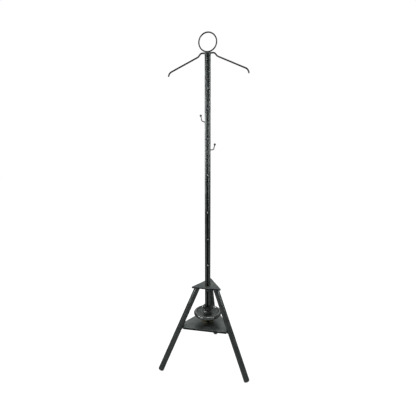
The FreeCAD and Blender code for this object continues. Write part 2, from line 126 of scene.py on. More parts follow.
class Finish:
    """A surface finish while its nodes are joined up."""

    def __init__(self, name):
        self.material = bpy.data.materials.new(name)
        self.material.use_nodes = True
        self.tree = self.material.node_tree
        self.shader = self.tree.nodes["Principled BSDF"]
        self.place = self.node("ShaderNodeTexCoord").outputs["Object"]

    def node(self, kind, inputs=None, **settings):
        node = self.tree.nodes.new(kind)
        for name, value in settings.items():
            setattr(node, name, value)
        for socket, value in (inputs or {}).items():
            self.feed(node.inputs[socket], value)
        return node

    def feed(self, socket, value):
        if isinstance(value, bpy.types.NodeSocket):
            self.tree.links.new(value, socket)
        else:
            socket.default_value = value

    def set(self, **values):
        """Set or link the shader's sockets; an underscore stands for a space."""
        for name, value in values.items():
            self.feed(self.shader.inputs[name.replace("_", " ")], value)

    def maths(self, operation, first, second=0.0):
        return self.node("ShaderNodeMath", {0: first, 1: second}, operation=operation).outputs[0]

    def stretched(self, factors, place=None):
        """Return coordinates multiplied axis by axis."""
        inputs = {0: place or self.place, 1: factors}
        return self.node("ShaderNodeVectorMath", inputs, operation="MULTIPLY").outputs[0]

    def grain(self, place, scale, detail=4.0, roughness=0.55):
        """Return a noise between 0 and 1."""
        inputs = {"Vector": place, "Scale": scale, "Detail": detail, "Roughness": roughness}
        return self.node("ShaderNodeTexNoise", inputs).outputs["Fac"]

    def between(self, value, low, high, out_low=0.0, out_high=1.0):
        """Return the value moved from one range to another and held inside it."""
        inputs = {"Value": value, "From Min": low, "From Max": high, "To Min": out_low, "To Max": out_high}
        return self.node("ShaderNodeMapRange", inputs, clamp=True).outputs[0]

    def blend(self, share, first, second, how="MIX"):
        """Return a colour between two colours."""
        mix = self.node("ShaderNodeMix", data_type="RGBA", blend_type=how)
        self.feed(mix.inputs["Factor"], share)
        for socket, colour in ((mix.inputs[6], first), (mix.inputs[7], second)):
            self.feed(socket, colour if isinstance(colour, bpy.types.NodeSocket) else (*colour, 1.0))
        return mix.outputs[2]

    def along_leg(self, azimuth):
        """Return coordinates in a leg's own frame, z running up the leg."""
        axes = leg_frame(azimuth, 0.0)
        settings = {"Vector": self.place, "Location": axes.translation, "Rotation": axes.to_euler()}
        return self.node("ShaderNodeMapping", settings, vector_type="TEXTURE").outputs[0]

    def part_of(self, place, axis):
        """Return one coordinate of a place."""
        return self.node("ShaderNodeSeparateXYZ", {0: place}).outputs[axis]

    def about_mast(self):
        """Return (distance from the mast's axis, 0, height)."""
        flat = self.stretched((1, 1, 0))
        radius = self.node("ShaderNodeVectorMath", {0: flat}, operation="LENGTH").outputs["Value"]
        height = self.part_of(self.place, "Z")
        return radius, self.node("ShaderNodeCombineXYZ", {"X": radius, "Z": height}).outputs[0]

    def edge_wear(self, width, breakup):
        """Return 1 on sharp edges, fading over a width and broken up by a noise."""
        soft = self.node("ShaderNodeBevel", {"Radius": width}, samples=6).outputs[0]
        flat = self.node("ShaderNodeNewGeometry").outputs["Normal"]
        facing = self.node("ShaderNodeVectorMath", {0: soft, 1: flat}, operation="DOT_PRODUCT")
        edge = self.between(facing.outputs["Value"], 0.985, 0.86)
        return self.maths("MULTIPLY", edge, self.between(breakup, 0.38, 0.62))

    def black_metal(self, colour, roughness):
        """Set a dark metal whose glancing reflections stay dim."""
        self.set(Base_Color=colour, Roughness=roughness, Metallic=0.9, Specular_IOR_Level=0.4,
                 Specular_Tint=(*DARK_GLANCE, 1))

    def mixed(self, first, share, second):
        """Return two noises added in shares."""
        rest = self.maths("MULTIPLY", second, 1 - share)
        return self.maths("ADD", self.maths("MULTIPLY", first, share), rest)

    def relief(self, layers):
        """Raise the surface by layers of (height, depth in metres)."""
        normal = None
        for height, depth in layers:
            bump = self.node("ShaderNodeBump", {"Height": height, "Distance": depth, "Strength": 1.0})
            if normal:
                self.feed(bump.inputs["Normal"], normal)
            normal = bump.outputs[0]
        self.set(Normal=normal)

    def near_heights(self, height, welds, reach):
        """Return 1 at the heights of the welds, fading to 0 over a reach."""
        total = None
        for weld in welds:
            distance = self.maths("ABSOLUTE", self.maths("SUBTRACT", height, weld))
            glow = self.between(distance, 0.0, reach, 1.0, 0.0)
            total = glow if total is None else self.maths("MAXIMUM", total, glow)
        return total


BLACK = (0.052, 0.060, 0.057)
GUNMETAL = (0.118, 0.132, 0.126)
BARE_EDGE = (0.30, 0.31, 0.305)
RUST = (0.070, 0.052, 0.040)
# Near black for the painted shade in the grooves between the mast's tubes.
GROOVE_SHADE_BLACK = (0.006, 0.006, 0.006)
CUT_EDGE = (0.012, 0.013, 0.013)
HEAT_BLUE = (0.050, 0.058, 0.078)
HEAT_STRAW = (0.105, 0.100, 0.088)
DARK_GLANCE = (0.45, 0.47, 0.46)


def blackened_steel(name, leg=None, welds=(), tone=1.0, gloss=0.25, painted_groove_shade=False):
    """Oil-blackened tube or rod: streaks along it, mottled black, heat tint beside its welds, and, when
    asked, painted shade in near black along the grooves between the mast's tubes.
    """
    finish = Finish(name)
    place = finish.along_leg(LEG_AZIMUTHS[leg]) if leg else finish.place
    clouds = finish.grain(place, 38.0, 5.0, 0.62)
    streaks = finish.grain(finish.stretched((420, 420, 7), place), 1.0, 3.0, 0.6)
    scratches = finish.grain(finish.stretched((1500, 1500, 32), place), 1.0, 2.0, 0.5)
    specks = finish.grain(place, 620.0, 3.0, 0.7)
    black = tuple(tone * part for part in BLACK)
    gunmetal = tuple(tone * part for part in GUNMETAL)
    shade = finish.mixed(clouds, 0.55, streaks)
    colour = finish.blend(finish.between(shade, 0.30, 0.72), black, gunmetal)
    colour = finish.blend(finish.between(specks, 0.68, 0.80, 0.0, 0.12), colour, RUST)
    if welds:
        height = finish.part_of(finish.place, "Z")
        ragged = finish.maths("ADD", height, finish.maths("MULTIPLY", finish.grain(place, 90.0), 12 * MM))
        heat = finish.near_heights(finish.maths("SUBTRACT", ragged, 6 * MM), welds, 20 * MM)
        colour = finish.blend(finish.between(heat, 0.05, 0.45, 0.0, 0.40), colour, HEAT_BLUE)
        colour = finish.blend(finish.between(heat, 0.50, 0.90, 0.0, 0.35), colour, HEAT_STRAW)
    if painted_groove_shade:
        # Painted shade: faces close to the mast's axis, down the grooves between the tubes, are blended to
        # near black.
        groove_shade = finish.between(finish.about_mast()[0], 10.5 * MM, 13.5 * MM, 0.92, 0.0)
        colour = finish.blend(groove_shade, colour, GROOVE_SHADE_BLACK)
    worn = finish.edge_wear(0.9 * MM, clouds)
    colour = finish.blend(finish.between(scratches, 0.68, 0.76, 0.0, 0.10), colour, BARE_EDGE)
    colour = finish.blend(finish.maths("MULTIPLY", worn, 0.65), colour, BARE_EDGE)
    rough = finish.maths("ADD", finish.between(clouds, 0.3, 0.7, gloss - 0.03, gloss + 0.06),
                         finish.between(streaks, 0.3, 0.7, -0.03, 0.03))
    finish.black_metal(colour, rough)
    finish.relief([(finish.grain(place, 45.0, 2.0), 0.03 * MM), (streaks, 0.0015 * MM), (specks, 0.002 * MM)])
    return finish.material


def blackened_plate(name, welds):
    """Flame-cut plate: patches of rolled scale, black cut edges with drag lines, and heat tint."""
    finish = Finish(name)
    scale = finish.grain(finish.place, 26.0, 6.0, 0.66)
    rolled = finish.grain(finish.stretched((60, 240, 240)), 1.0, 3.0)
    drag = finish.grain(finish.stretched((700, 700, 9)), 1.0, 2.0)
    specks = finish.grain(finish.place, 540.0, 3.0, 0.7)
    shade = finish.mixed(scale, 0.7, rolled)
    colour = finish.blend(finish.between(shade, 0.38, 0.62), (0.080, 0.090, 0.087), (0.165, 0.180, 0.174))
    colour = finish.blend(finish.between(specks, 0.66, 0.80, 0.0, 0.4), colour, RUST)
    heat = None
    for centre in welds:
        reach = finish.node("ShaderNodeVectorMath", {0: finish.place, 1: centre}, operation="DISTANCE")
        glow = finish.between(reach.outputs["Value"], 18 * MM, 42 * MM, 1.0, 0.0)
        heat = glow if heat is None else finish.maths("MAXIMUM", heat, glow)
    ragged = finish.maths("MULTIPLY", heat, finish.between(scale, 0.3, 0.7, 0.6, 1.2))
    colour = finish.blend(finish.between(ragged, 0.1, 0.5, 0.0, 0.35), colour, HEAT_BLUE)
    colour = finish.blend(finish.between(ragged, 0.6, 1.0, 0.0, 0.35), colour, HEAT_STRAW)
    worn = finish.edge_wear(0.7 * MM, finish.grain(finish.place, 110.0))
    colour = finish.blend(finish.maths("MULTIPLY", worn, 0.5), colour, BARE_EDGE)
    upright = finish.part_of(finish.node("ShaderNodeNewGeometry").outputs["Normal"], "Z")
    on_edge = finish.between(finish.maths("ABSOLUTE", upright), 0.2, 0.6, 1.0, 0.0)
    colour = finish.blend(finish.maths("MULTIPLY", on_edge, 0.85), colour, CUT_EDGE)
    finish.black_metal(colour, finish.between(scale, 0.3, 0.7, 0.30, 0.50))
    drag_lines = finish.maths("MULTIPLY", drag, on_edge)
    finish.relief([(scale, 0.12 * MM), (drag_lines, 0.06 * MM), (specks, 0.03 * MM)])
    return finish.material


def turned_iron(name, polished_from=None, tone=1.0):
    """Lathe-turned iron: tool rings, oil-dark hollows and, past a radius, a hand-polished rim."""
    finish = Finish(name)
    radius, section = finish.about_mast()
    rings = finish.grain(finish.stretched((2600, 1, 2600), section), 1.0, 2.0, 0.6)
    bands = finish.grain(finish.stretched((170, 1, 170), section), 1.0, 2.0)
    grime = finish.grain(finish.place, 60.0, 5.0, 0.62)
    pits = finish.grain(finish.place, 700.0, 3.0, 0.7)
    dark = tuple(tone * part for part in (0.045, 0.050, 0.049))
    light = tuple(tone * part for part in (0.120, 0.130, 0.127))
    shade = finish.maths("ADD", bands, finish.maths("SUBTRACT", grime, 0.5))
    colour = finish.blend(finish.between(shade, 0.35, 0.68), dark, light)
    colour = finish.blend(finish.between(rings, 0.55, 0.75, 0.0, 0.20), colour, BARE_EDGE)
    rough = finish.between(grime, 0.3, 0.7, 0.22, 0.38)
    if polished_from:
        handled = finish.maths("MULTIPLY", finish.between(radius, polished_from, polished_from + 4 * MM),
                               finish.between(grime, 0.25, 0.6, 1.0, 0.55))
        colour = finish.blend(handled, colour, (0.17, 0.18, 0.175))
        rough = finish.maths("SUBTRACT", rough, finish.maths("MULTIPLY", handled, 0.10))
    colour = finish.blend(finish.between(pits, 0.66, 0.80, 0.0, 0.7), colour, (0.03, 0.025, 0.02))
    worn = finish.maths("MULTIPLY", finish.edge_wear(0.8 * MM, grime), 0.8)
    colour = finish.blend(worn, colour, (0.42, 0.42, 0.41))
    finish.black_metal(colour, rough)
    finish.relief([(rings, 0.01 * MM), (grime, 0.06 * MM), (pits, 0.02 * MM)])
    return finish.material


def copper_alloy(name, bright, tarnish, roughness):
    """Turned brass or bronze with brown tarnish in clouds and tool rings."""
    finish = Finish(name)
    section = finish.about_mast()[1]
    rings = finish.grain(finish.stretched((2200, 1, 2200), section), 1.0, 2.0, 0.6)
    clouds = finish.grain(finish.place, 75.0, 6.0, 0.68)
    specks = finish.grain(finish.place, 480.0, 3.0, 0.7)
    colour = finish.blend(finish.between(clouds, 0.36, 0.62), bright, tarnish)
    colour = finish.blend(finish.between(specks, 0.62, 0.76, 0.0, 0.7), colour, (0.05, 0.05, 0.035))
    rubbed = tuple(min(1.0, 1.4 * part) for part in bright)
    colour = finish.blend(finish.maths("MULTIPLY", finish.edge_wear(1.0 * MM, clouds), 0.8), colour, rubbed)
    finish.set(Base_Color=colour, Metallic=1.0,
               Roughness=finish.between(clouds, 0.3, 0.7, roughness, roughness + 0.22))
    finish.relief([(rings, 0.02 * MM), (specks, 0.03 * MM), (clouds, 0.06 * MM)])
    return finish.material


def weld_metal(name):
    """Brushed weld bead: pale grey and darker warm grey in clouds, pitted."""
    finish = Finish(name)
    clouds = finish.grain(finish.place, 260.0, 4.0, 0.6)
    brushed = finish.grain(finish.stretched((900, 900, 5200)), 1.0, 2.0)
    pits = finish.grain(finish.place, 1500.0, 2.0, 0.6)
    colour = finish.blend(finish.between(clouds, 0.42, 0.62), (0.50, 0.51, 0.50), (0.24, 0.235, 0.215))
    colour = finish.blend(finish.between(pits, 0.62, 0.75, 0.0, 0.8), colour, (0.06, 0.055, 0.05))
    finish.set(Base_Color=colour, Metallic=0.9, Roughness=finish.between(brushed, 0.3, 0.7, 0.24, 0.46))
    finish.relief([(brushed, 0.03 * MM), (pits, 0.05 * MM)])
    return finish.material


def painted_weld(name):
    """Weld bead left under the blackening."""
    finish = Finish(name)
    clouds = finish.grain(finish.place, 240.0, 4.0, 0.6)
    pits = finish.grain(finish.place, 1400.0, 2.0, 0.6)
    colour = finish.blend(finish.between(clouds, 0.4, 0.65), (0.045, 0.048, 0.047), (0.17, 0.16, 0.145))
    finish.set(Base_Color=colour, Metallic=0.75, Roughness=finish.between(pits, 0.3, 0.7, 0.30, 0.52))
    finish.relief([(pits, 0.06 * MM), (clouds, 0.1 * MM)])
    return finish.material


def screw_steel(name):
    """Oil-blackened fastener, bright where a spanner or key has touched it."""
    finish = Finish(name)
    clouds = finish.grain(finish.place, 320.0, 4.0, 0.6)
    specks = finish.grain(finish.place, 1300.0, 3.0, 0.7)
    colour = finish.blend(finish.between(clouds, 0.4, 0.6), (0.06, 0.06, 0.058), (0.16, 0.155, 0.145))
    colour = finish.blend(finish.between(specks, 0.62, 0.74, 0.0, 0.6), colour, RUST)
    colour = finish.blend(finish.edge_wear(0.5 * MM, clouds), colour, (0.45, 0.44, 0.42))
    finish.set(Base_Color=colour, Metallic=0.9, Roughness=finish.between(clouds, 0.3, 0.7, 0.28, 0.46))
    finish.relief([(specks, 0.02 * MM)])
    return finish.material


def bright_steel(name):
    """Ground shaft with fine rings round it and a film of old oil."""
    finish = Finish(name)
    section = finish.about_mast()[1]
    rings = finish.grain(finish.stretched((1, 1, 6000), section), 1.0, 2.0)
    oil = finish.grain(finish.place, 130.0, 4.0)
    colour = finish.blend(finish.between(oil, 0.4, 0.7), (0.52, 0.52, 0.51), (0.26, 0.22, 0.16))
    finish.set(Base_Color=colour, Metallic=1.0, Roughness=finish.between(rings, 0.3, 0.7, 0.16, 0.34))
    finish.relief([(rings, 0.01 * MM)])
    return finish.material


def foot_rubber(name):
    """Moulded rubber, greyed with dust and scuffed pale towards the floor."""
    finish = Finish(name)
    grain = finish.grain(finish.place, 900.0, 4.0, 0.65)
    scuffs = finish.grain(finish.stretched((120, 120, 500)), 1.0, 4.0, 0.6)
    height = finish.part_of(finish.place, "Z")
    ragged = finish.maths("ADD", height, finish.maths("MULTIPLY", scuffs, 6 * MM))
    low = finish.between(ragged, 3 * MM, 10 * MM, 1.0, 0.0)
    colour = finish.blend(finish.between(grain, 0.3, 0.7), (0.016, 0.016, 0.016), (0.032, 0.032, 0.031))
    colour = finish.blend(finish.maths("MULTIPLY", low, 0.5), colour, (0.13, 0.125, 0.115))
    finish.set(Base_Color=colour, Roughness=finish.between(scuffs, 0.3, 0.7, 0.55, 0.82))
    finish.relief([(grain, 0.05 * MM), (scuffs, 0.08 * MM)])
    return finish.material


def brake_fibre(name):
    """Pressed friction material with pale fibres in brown resin."""
    finish = Finish(name)
    fibres = finish.grain(finish.stretched((700, 700, 2600)), 1.0, 3.0, 0.7)
    flecks = finish.grain(finish.place, 1700.0, 2.0)
    colour = finish.blend(finish.between(fibres, 0.4, 0.6), (0.16, 0.085, 0.05), (0.30, 0.20, 0.13))
    colour = finish.blend(finish.between(flecks, 0.64, 0.70, 0.0, 0.7), colour, (0.5, 0.4, 0.24))
    finish.set(Base_Color=colour, Roughness=finish.between(fibres, 0.3, 0.7, 0.65, 0.9))
    finish.relief([(fibres, 0.06 * MM)])
    return finish.material


def floor_paint(name):
    """Plain white floor with a glow of its own, so that shadows on it stay faint; reflections see it dim."""
    finish = Finish(name)
    clouds = finish.grain(finish.place, 1.3, 2.0)
    mirrored = finish.node("ShaderNodeLightPath").outputs["Is Glossy Ray"]
    colour = finish.blend(clouds, (0.155, 0.155, 0.155), (0.165, 0.165, 0.165))
    glow = finish.blend(mirrored, (0.85, 0.85, 0.85), (0.0, 0.0, 0.0))
    finish.set(Base_Color=colour, Emission_Color=glow, Roughness=0.9, Specular_IOR_Level=0.1)
    finish.set(Emission_Strength=1.0)
    return finish.material


def leg_points(height):
    """Return where the legs' axes pass a height."""
    return [leg_frame(azimuth, height).translation for azimuth in LEG_AZIMUTHS.values()]


# The mast's finish has painted shade, near black, in the grooves between its tubes.
MAST_STEEL = blackened_steel("mast_tube_black", welds=TACK_HEIGHTS, tone=1.25, gloss=0.26, painted_groove_shade=True)
ROD_STEEL = blackened_steel("hanger_rod_black", tone=0.55, gloss=0.32)
TOP_PLATE_STEEL = blackened_plate("top_plate_black", leg_points(TOP_PLATE_UNDERSIDE))
SHELF_STEEL = blackened_plate("shelf_black", leg_points(SHELF_FACE))
WHEEL_IRON = turned_iron("brake_wheel_iron", polished_from=62 * MM)
SHOE_IRON = turned_iron("shoe_iron", tone=0.9)
BRASS = copper_alloy("pedestal_brass", (0.24, 0.22, 0.14), (0.050, 0.050, 0.042), 0.30)
OILED_BRONZE = copper_alloy("guide_bush_bronze", (0.13, 0.115, 0.085), (0.06, 0.058, 0.052), 0.34)
BRONZE = copper_alloy("bearing_bronze", (0.52, 0.31, 0.17), (0.22, 0.12, 0.07), 0.30)
BRIGHT_WELD = weld_metal("brushed_weld")
BLACK_WELD = painted_weld("blackened_weld")
SCREW_STEEL = screw_steel("fastener_black")
SPINDLE_STEEL = bright_steel("spindle_bright")
RUBBER = foot_rubber("foot_rubber")
FIBRE = brake_fibre("brake_fibre")


# ---- Finishes on the frame's own pieces ----

def dress(node, material):
    """Put a finish on a piece that the frame holds."""
    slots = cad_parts[node].data.materials
    for index in range(len(slots)):
        slots[index] = material


LEG_WELDS = (TOP_PLATE_UNDERSIDE, SHELF_FACE)
for side in LEG_AZIMUTHS:
    dress(side + "_leg", blackened_steel(side + "_leg_black", leg=side, welds=LEG_WELDS))
    dress("mast_tube_" + side, MAST_STEEL)
for hook in ("upper_hook", "lower_hook"):
    dress(hook, ROD_STEEL)
    dress(hook + "_ball", ROD_STEEL)
dress("top_plate", TOP_PLATE_STEEL)
dress("shelf_plate", SHELF_STEEL)
dress("guide_bush", OILED_BRONZE)
dress("thrust_pad", BRONZE)
dress("wheel_insert", BRONZE)
dress("brake_ring", FIBRE)
dress("mast_cap", MAST_STEEL)
dress("mast_spindle", SPINDLE_STEEL)
dress("mast_shoe", SHOE_IRON)
dress("top_ring", ROD_STEEL)


# ---- Shape helpers ----

def finished(name, builder, material, body, replaced=(), sharp_angle=35.0):
    """Turn a bmesh into a smooth-shaded piece that rides on its body."""
    bmesh.ops.remove_doubles(builder, verts=builder.verts, dist=1e-6)
    bmesh.ops.recalc_face_normals(builder, faces=builder.faces)
    mesh = bpy.data.meshes.new(name)
    builder.to_mesh(mesh)
    builder.free()
    mesh.shade_smooth()
    mesh.set_sharp_from_angle(angle=math.radians(sharp_angle))
    mesh.materials.append(material)
    piece = bpy.data.objects.new(name, mesh)
    bpy.context.scene.collection.objects.link(piece)
    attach(piece, body)
    if replaced:
        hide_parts(*replaced)
    return piece


def turned(builder, outline, steps=96, place=Matrix()):
    """Spin a closed outline of (radius, z, rounding) corners about the z axis of a place."""
    before = set(builder.verts)
    corners = [builder.verts.new((radius, 0, z)) for radius, z, rounding in outline]
    for first, second in zip(corners, corners[1:] + corners[:1]):
        builder.edges.new((first, second))
    for corner, (radius, z, rounding) in zip(corners, outline):
        if rounding > 0:
            bmesh.ops.bevel(builder, geom=[corner], offset=rounding, offset_type="OFFSET", segments=6,
                            profile=0.5, affect="VERTICES", material=-1, clamp_overlap=False)
    wire = [vert for vert in builder.verts if vert not in before]
    edges = list({edge for vert in wire for edge in vert.link_edges})
    bmesh.ops.spin(builder, geom=wire + edges, cent=(0, 0, 0), axis=UP, angle=math.tau, steps=steps,
                   use_merge=True)
    made = [vert for vert in builder.verts if vert not in before]
    bmesh.ops.transform(builder, matrix=place, verts=made)


def hexagon(builder, centre, flats, low, high, chamfer):
    """Add an upright hexagonal prism with chamfered ends."""
    height = high - low
    place = Matrix.Translation(Vector((centre.x, centre.y, (low + high) / 2)))
    made = bmesh.ops.create_cone(builder, cap_ends=True, segments=6, radius1=flats / math.sqrt(3),
                                 radius2=flats / math.sqrt(3), depth=height, matrix=place)
    rims = [edge for vert in made["verts"] for edge in vert.link_edges
            if abs(edge.verts[0].co.z - edge.verts[1].co.z) < height / 2]
    bmesh.ops.bevel(builder, geom=list(set(rims)), offset=chamfer, offset_type="OFFSET", segments=2,
                    profile=0.5, affect="EDGES", material=-1)


def thread(builder, centre, crest, depth, pitch, low, high, steps=40):
    """Add a helical ridge round an upright post."""
    turns = (high - low) / pitch
    section = [(crest - depth - 0.2 * MM, -0.46 * pitch), (crest, -0.07 * pitch), (crest, 0.07 * pitch),
               (crest - depth - 0.2 * MM, 0.46 * pitch)]
    verts = [builder.verts.new((centre.x + radius, centre.y, low + z)) for radius, z in section]
    face = builder.faces.new(verts)
    bmesh.ops.spin(builder, geom=[face] + list(face.edges) + verts, cent=(centre.x, centre.y, 0), axis=UP,
                   angle=math.tau * turns, steps=int(steps * turns), dvec=(0, 0, pitch / steps))


def bent_rod(builder, points, bends, radius, segments=24):
    """Run a round section along straight runs and tangent arcs."""
    heading = (points[1] - points[0]).normalized()
    place = Matrix.Translation(points[0]) @ heading.to_track_quat("Z", "Y").to_matrix().to_4x4()
    circle = bmesh.ops.create_circle(builder, cap_ends=True, segments=segments, radius=radius, matrix=place)
    face = circle["verts"][0].link_faces[0]
    here = points[0]

    def run(face, step):
        made = bmesh.ops.extrude_face_region(builder, geom=[face])["geom"]
        ahead = [part for part in made if isinstance(part, bmesh.types.BMFace)][0]
        bmesh.ops.translate(builder, vec=step, verts=ahead.verts)
        return ahead

    for corner, after, bend in zip(points[1:-1], points[2:], bends):
        back = (here - corner).normalized()
        ahead = (after - corner).normalized()
        turn = math.pi - back.angle(ahead)
        tangent = bend * math.tan(turn / 2)
        face = run(face, corner + back * tangent - here)
        centre = corner + (back + ahead).normalized() * bend / math.cos(turn / 2)
        made = bmesh.ops.spin(builder, geom=[face] + list(face.edges) + list(face.verts), cent=centre,
                              axis=ahead.cross(back), angle=turn, steps=14)
        face = [part for part in made["geom_last"] if isinstance(part, bmesh.types.BMFace)][0]
        here = corner + ahead * tangent
    run(face, points[-1] - here)


def round_end(builder, face, amounts):
    """Draw a rod's end in by steps of (how far on, scale), so that it is tapered and rounded."""
    centre = face.calc_center_median()
    for forward, scale in amounts:
        made = bmesh.ops.extrude_face_region(builder, geom=[face])["geom"]
        normal = face.normal.copy()
        face = [part for part in made if isinstance(part, bmesh.types.BMFace)][0]
        place = Matrix.Translation(-centre)
        bmesh.ops.scale(builder, vec=(scale, scale, scale), space=place, verts=face.verts)
        bmesh.ops.translate(builder, vec=normal * forward, verts=face.verts)
        centre = centre + normal * forward


def weld_bead(builder, place, radius, bead, start=0.0, sweep=360.0, slope=0.0, ripple=1.7 * MM):
    """Lay a rippled bead round part of a circle; the slope tips the circle's plane along x."""
    before = set(builder.verts)
    whole = sweep >= 360.0
    first = (Matrix.Rotation(math.radians(start), 4, "Z") @ Matrix.Translation((radius, 0, 0))
             @ Matrix.Rotation(math.pi / 2, 4, "X"))
    circle = bmesh.ops.create_circle(builder, cap_ends=not whole, segments=10, radius=bead, matrix=first)
    faces = list(circle["verts"][0].link_faces)
    edges = list({edge for vert in circle["verts"] for edge in vert.link_edges})
    steps = max(8, int(math.radians(sweep) * radius / (ripple / 4)))
    bmesh.ops.spin(builder, geom=circle["verts"] + edges + faces, cent=(0, 0, 0), axis=UP,
                   angle=math.radians(sweep), steps=steps, use_merge=whole)
    for vert in [vert for vert in builder.verts if vert not in before]:
        angle = math.atan2(vert.co.y, vert.co.x)
        core = Vector((radius * math.cos(angle), radius * math.sin(angle), 0))
        wave = 0.12 * abs(math.sin(angle * radius * math.pi / ripple)) + 0.3 * noise.noise(core * 260)
        vert.co = core + (vert.co - core) * (1 + wave)
        vert.co.z += slope * vert.co.x
        vert.co = place @ vert.co


def weld_blob(builder, centre, size, turn=0.0):
    """Add a lumpy blob of weld metal, turned about the upright by degrees."""
    place = (Matrix.Translation(centre) @ Matrix.Rotation(math.radians(turn), 4, "Z")
             @ Matrix.Diagonal((*size, 1.0)))
    made = bmesh.ops.create_icosphere(builder, subdivisions=4, radius=1.0, matrix=place)
    for vert in made["verts"]:
        lump = 0.35 * noise.noise(vert.co * 420) + 0.10 * noise.noise(vert.co * 1500)
        vert.co += (vert.co - centre) * lump


# ---- Feet ----

def make_foot(side):
    """Moulded rubber end cap: round lower edge, a shallow moulding line and a ribbed stem in the tube."""
    azimuth = LEG_AZIMUTHS[side]
    lean = math.atan(leg_lean())
    drop = (LEG_RADIUS - FOOT_ROUNDING) * math.sin(lean) + FOOT_ROUNDING * (1 - math.cos(lean))
    place = leg_frame(azimuth, drop - FOOT_WEAR)
    stem = LEG_RADIUS - LEG_WALL
    outline = [(0.5 * MM, 0, 0), (LEG_RADIUS, 0, FOOT_ROUNDING), (LEG_RADIUS, 4.5 * MM, 0.1 * MM),
               (LEG_RADIUS - 0.35 * MM, 4.8 * MM, 0), (LEG_RADIUS, 5.1 * MM, 0.1 * MM),
               (LEG_RADIUS, FOOT_THICKNESS, 0.3 * MM), (stem, FOOT_THICKNESS, 0)]
    ribs = 5
    for rib in range(ribs):
        low = FOOT_THICKNESS + (2 + 5 * rib) * MM
        outline += [(stem - 0.8 * MM, low, 0), (stem - 0.1 * MM, low + 1.5 * MM, 0.3 * MM),
                    (stem - 0.8 * MM, low + 3 * MM, 0)]
    top = FOOT_THICKNESS + FOOT_STEM
    outline += [(stem - 1.5 * MM, top, 0.5 * MM), (0.5 * MM, top, 0)]
    builder = bmesh.new()
    turned(builder, outline, 64, place)
    cut = bmesh.ops.bisect_plane(builder, geom=builder.verts[:] + builder.edges[:] + builder.faces[:],
                                 plane_co=(0, 0, 0), plane_no=(0, 0, -1), clear_outer=True)
    edges = [part for part in cut["geom_cut"] if isinstance(part, bmesh.types.BMEdge)]
    bmesh.ops.holes_fill(builder, edges=edges)
    finished(side + "_foot_cap", builder, RUBBER, "base", [side + "_foot"], 50)


for side in LEG_AZIMUTHS:
    make_foot(side)


# ---- Welds of the legs and plates ----

def make_leg_welds():
    """Beads round each leg's head under the top plate, and above and below the shelf's notches."""
    lean = leg_lean()
    leg_distance = leg_points(SHELF_FACE)[0].to_2d().length
    notch = math.degrees(math.acos((leg_distance - SHELF_CORNER_DISTANCE) / LEG_RADIUS))
    for side, azimuth in LEG_AZIMUTHS.items():
        heads = bmesh.new()
        head = leg_frame(azimuth, TOP_PLATE_UNDERSIDE - 0.8 * MM)
        weld_bead(heads, head, LEG_RADIUS + 0.6 * MM, 2.4 * MM, slope=-lean)
        finished(side + "_head_weld", heads, BLACK_WELD, "base")
        notches = bmesh.new()
        for height in (SHELF_FACE + 0.6 * MM, SHELF_UNDERSIDE - 0.6 * MM):
            weld_bead(notches, leg_frame(azimuth, height), LEG_RADIUS + 0.5 * MM, 2.2 * MM,
                      start=180 - notch, sweep=2 * notch, slope=-lean)
        finished(side + "_shelf_weld", notches, BLACK_WELD, "base")


make_leg_welds()


# ---- Pedestal and its fasteners ----

def make_pedestal():
    """Turned brass flange with a raised seat, a root fillet and a threaded post."""
    core = POST_RADIUS - 1.7 * MM
    outline = [(POST_BORE, SHELF_FACE, 0.3 * MM), (FLANGE_RADIUS, SHELF_FACE, 0.4 * MM),
               (FLANGE_RADIUS, FLANGE_TOP, 1.5 * MM), (18.2 * MM, FLANGE_TOP, 0.2 * MM),
               (17.8 * MM, FLANGE_TOP - 0.4 * MM, 0.1 * MM), (17.2 * MM, FLANGE_TOP, 0.2 * MM),
               (core, FLANGE_TOP, 1.6 * MM), (core, POST_TOP, 1.2 * MM), (POST_BORE, POST_TOP, 0.8 * MM)]
    builder = bmesh.new()
    turned(builder, outline)
    thread(builder, Vector((0, 0, 0)), POST_RADIUS, 1.7 * MM, POST_THREAD_PITCH,
           FLANGE_TOP + 3.5 * MM, POST_TOP - 3 * MM)
    finished("pedestal_turned", builder, BRASS, "base", ["pedestal"])


def make_bolts():
    """Three hexagon bolts with a washer face, and threaded tails below their nuts."""
    builder = bmesh.new()
    tail = SHELF_UNDERSIDE - WASHER - NUT_HEIGHT - 2 * MM
    for azimuth in BOLT_AZIMUTHS:
        centre = polar(BOLT_CIRCLE, azimuth)
        place = Matrix.Translation(centre)
        hexagon(builder, centre, BOLT_FLATS, FLANGE_TOP + 0.4 * MM, FLANGE_TOP + BOLT_HEAD, 0.45 * MM)
        face = FLANGE_TOP + 0.5 * MM
        turned(builder, [(0.2 * MM, FLANGE_TOP, 0), (4.7 * MM, FLANGE_TOP, 0), (4.7 * MM, face, 0),
                         (0.2 * MM, face, 0)], 40, place)
        turned(builder, [(0.2 * MM, tail, 0), (BOLT_RADIUS - 0.5 * MM, tail, 0.4 * MM),
                         (BOLT_RADIUS - 0.5 * MM, FLANGE_TOP, 0), (0.2 * MM, FLANGE_TOP, 0)], 32, place)
        thread(builder, centre, BOLT_RADIUS, 0.5 * MM, 1 * MM, tail + 0.6 * MM, SHELF_UNDERSIDE - WASHER, 24)
    finished("flange_bolts", builder, SCREW_STEEL, "base", ["pedestal_bolts"])


def make_washers():
    """Three punched washers, rounded on their upper edge."""
    builder = bmesh.new()
    low, high = SHELF_UNDERSIDE - WASHER, SHELF_UNDERSIDE
    outline = [(3.05 * MM, low, 0.1 * MM), (6.2 * MM, low, 0.4 * MM), (6.2 * MM, high, 0.1 * MM),
               (3.05 * MM, high, 0.1 * MM)]
    for azimuth in BOLT_AZIMUTHS:
        turned(builder, outline, 48, Matrix.Translation(polar(BOLT_CIRCLE, azimuth)))
    finished("flange_washers", builder, SCREW_STEEL, "base", ["pedestal_washers"])


